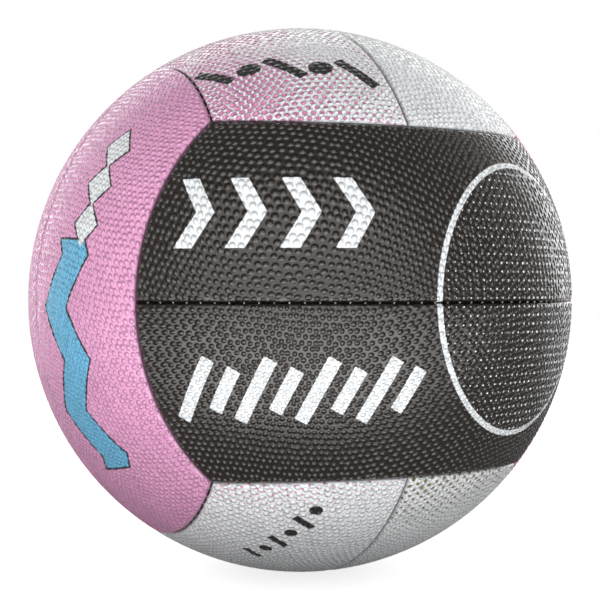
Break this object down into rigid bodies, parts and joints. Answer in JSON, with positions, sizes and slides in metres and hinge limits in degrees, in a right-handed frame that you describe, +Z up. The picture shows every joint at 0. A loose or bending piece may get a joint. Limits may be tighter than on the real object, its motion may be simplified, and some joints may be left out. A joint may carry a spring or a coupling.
{
  "type": "netball",
  "caption": "Stitched netball of pimpled rubber panels in pairs over fabric backings and an air bladder, with a valve whose core pulls out.",
  "frame": {"origin": "centre of the ball", "axes": "+Z up, -Y the front face, whose middle seam is level; the valve is in the upper panel of the back face"},
  "size_m": [0.222, 0.222, 0.222],
  "materials": {
    "black_rubber": "matte",
    "pink_rubber": "matte",
    "white_rubber": "matte",
    "backing_fabric": "matte",
    "seam_thread": "matte",
    "bladder_rubber": "satin",
    "valve_rubber": "satin"
  },
  "bodies": {
    "ball": {"cover_front_upper": "black_rubber", "backing_front_upper": "backing_fabric", "edge_thread_front_upper": "seam_thread", "cover_front_lower": "black_rubber", "backing_front_lower": "backing_fabric", "edge_thread_front_lower": "seam_thread", "cover_back_upper": "black_rubber", "backing_back_upper": "backing_fabric", "edge_thread_back_upper": "seam_thread", "cover_back_lower": "black_rubber", "backing_back_lower": "backing_fabric", "edge_thread_back_lower": "seam_thread", "cover_left_front": "pink_rubber", "backing_left_front": "backing_fabric", "edge_thread_left_front": "seam_thread", "cover_left_back": "pink_rubber", "backing_left_back": "backing_fabric", "edge_thread_left_back": "seam_thread", "cover_right_front": "pink_rubber", "backing_right_front": "backing_fabric", "edge_thread_right_front": "seam_thread", "cover_right_back": "pink_rubber", "backing_right_back": "backing_fabric", "edge_thread_right_back": "seam_thread", "cover_top_left": "white_rubber", "backing_top_left": "backing_fabric", "edge_thread_top_left": "seam_thread", "cover_top_right": "white_rubber", "backing_top_right": "backing_fabric", "edge_thread_top_right": "seam_thread", "cover_bottom_left": "white_rubber", "backing_bottom_left": "backing_fabric", "edge_thread_bottom_left": "seam_thread", "cover_bottom_right": "white_rubber", "backing_bottom_right": "backing_fabric", "edge_thread_bottom_right": "seam_thread", "middle_thread_front": "seam_thread", "middle_thread_back": "seam_thread", "middle_thread_left": "seam_thread", "middle_thread_right": "seam_thread", "middle_thread_top": "seam_thread", "middle_thread_bottom": "seam_thread", "bladder": "bladder_rubber", "balance_patch": "bladder_rubber", "valve_body": "valve_rubber"},
    "core": {"valve_core": "valve_rubber"}
  },
  "joints": [
    {"name": "valve_core_pull", "type": "slide", "parent": "ball", "child": "core", "axis": [0, 0.9556, 0.2947], "range_m": [0, 0.016]}
  ]
}
